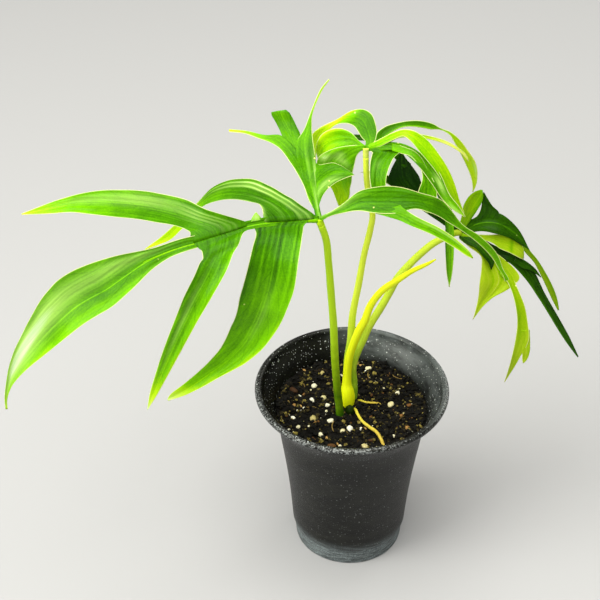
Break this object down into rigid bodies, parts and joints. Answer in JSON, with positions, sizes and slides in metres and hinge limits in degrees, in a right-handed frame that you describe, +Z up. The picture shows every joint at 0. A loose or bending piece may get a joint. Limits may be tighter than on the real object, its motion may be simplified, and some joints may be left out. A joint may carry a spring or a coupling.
{
  "type": "potted philodendron plant",
  "caption": "Young philodendron with long deeply cut arching leaves on slender stalks, growing in a round tapered plastic nursery pot filled with potting mix.",
  "frame": {"origin": "centre of the pot's underside, on the surface that it stands on", "axes": "+Z up along the pot's axis; the longest leaf reaches towards -X and the newest leaf towards +X"},
  "size_m": [0.3455, 0.1397, 0.307],
  "materials": {
    "pot_plastic": "satin, speckled",
    "potting_mix": "moist, coarse",
    "leaf_green": "satin",
    "leaf_shade_green": "satin",
    "stalk_yellow_green": "satin",
    "stalk_olive_green": "satin",
    "old_stem_green": "matte",
    "shoot_yellow_green": "satin",
    "root_yellow": "matte"
  },
  "bodies": {
    "root": {"pot": "pot_plastic", "soil": "potting_mix", "stem_stub": "old_stem_green", "petiole_a": "stalk_yellow_green", "petiole_b": "stalk_yellow_green", "petiole_c": "stalk_olive_green", "leaf_a": "leaf_green", "leaf_b": "leaf_green", "leaf_c": "leaf_shade_green", "new_shoot": "shoot_yellow_green", "aerial_root_long": "root_yellow", "aerial_root_short": "root_yellow"}
  },
  "joints": []
}
